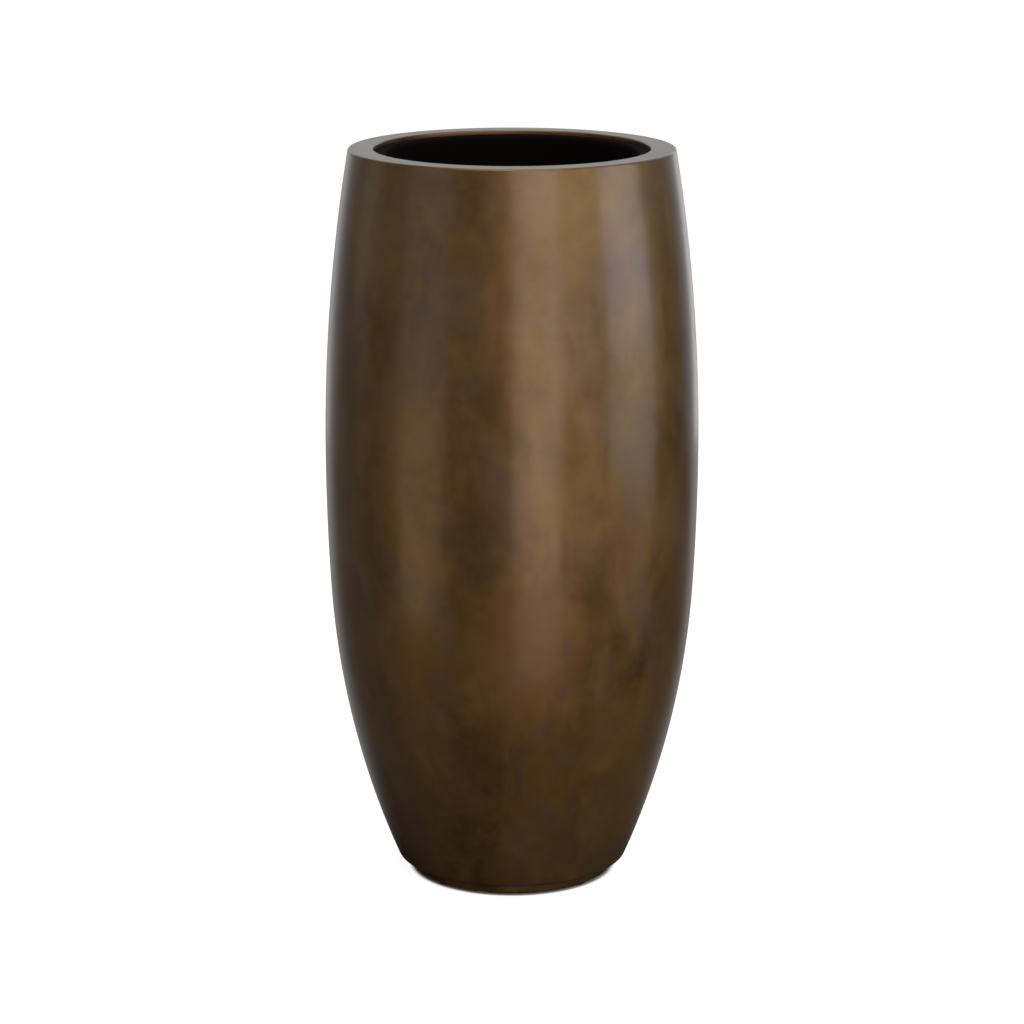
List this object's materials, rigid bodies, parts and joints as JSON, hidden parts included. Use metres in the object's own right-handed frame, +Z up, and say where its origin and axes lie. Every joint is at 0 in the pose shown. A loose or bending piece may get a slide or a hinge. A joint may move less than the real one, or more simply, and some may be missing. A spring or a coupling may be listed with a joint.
{
  "type": "round floor planter",
  "caption": "Tall round barrel-shaped concrete planter with a thick flat rim, a set-back foot and a lift-out black planting insert.",
  "frame": {"origin": "on the floor, on the planter's vertical axis", "axes": "+Z up along the planter's axis; +X and +Y horizontal, with the insert's two finger slots on +X and -X"},
  "size_m": [0.4043, 0.4044, 0.8],
  "materials": {
    "bronze_concrete": "satin",
    "black_plastic": "satin",
    "black_rubber": "matte"
  },
  "bodies": {
    "planter": {"planter_shell": "bronze_concrete", "foot_pad_1": "black_rubber", "foot_pad_2": "black_rubber", "foot_pad_3": "black_rubber", "foot_pad_4": "black_rubber"},
    "insert": {"planting_insert": "black_plastic"},
    "plug": {"drain_plug": "black_rubber"}
  },
  "joints": [
    {"name": "insert_lift", "type": "slide", "parent": "planter", "child": "insert", "axis": [0, 0, 1], "range_m": [0, 0.3]},
    {"name": "plug_pull", "type": "slide", "parent": "planter", "child": "plug", "axis": [0, 0, 1], "range_m": [0, 0.06]}
  ]
}
